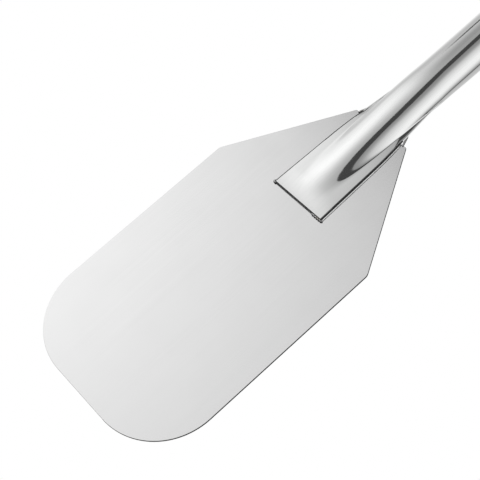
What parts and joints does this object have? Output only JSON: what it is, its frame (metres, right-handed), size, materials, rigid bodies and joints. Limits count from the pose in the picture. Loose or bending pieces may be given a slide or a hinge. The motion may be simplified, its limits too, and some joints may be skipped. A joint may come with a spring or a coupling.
{
  "type": "pizza peel",
  "caption": "Narrow all-steel peel: flat blade with rounded front corners and tapered shoulders, on a round tube handle flattened, lapped and welded to it.",
  "frame": {"origin": "centre of the blade's flat underside, at mid-length and mid-width of the blade", "axes": "+X runs up the handle, away from the blade's front edge; +Z is the blade's top side, which carries the food; +Y is across the blade and the part is symmetric about the XZ plane but for its small weld tacks"},
  "size_m": [0.61, 0.12, 0.0254],
  "materials": {
    "blade_steel": "bright annealed stainless sheet, mirror-like",
    "tube_steel": "polished stainless tube, mirror-like",
    "weld_steel": "stainless weld metal, as laid, lightly cleaned",
    "cap_steel": "polished pressed stainless"
  },
  "bodies": {
    "root": {"blade": "blade_steel", "handle_tube": "tube_steel", "tack_front_left": "weld_steel", "tack_front_right": "weld_steel", "tack_rear_left": "weld_steel", "tack_rear_right": "weld_steel", "rear_edge_weld": "weld_steel", "plug_welds": "weld_steel", "end_cap": "cap_steel", "end_cap_weld": "weld_steel"}
  },
  "joints": []
}
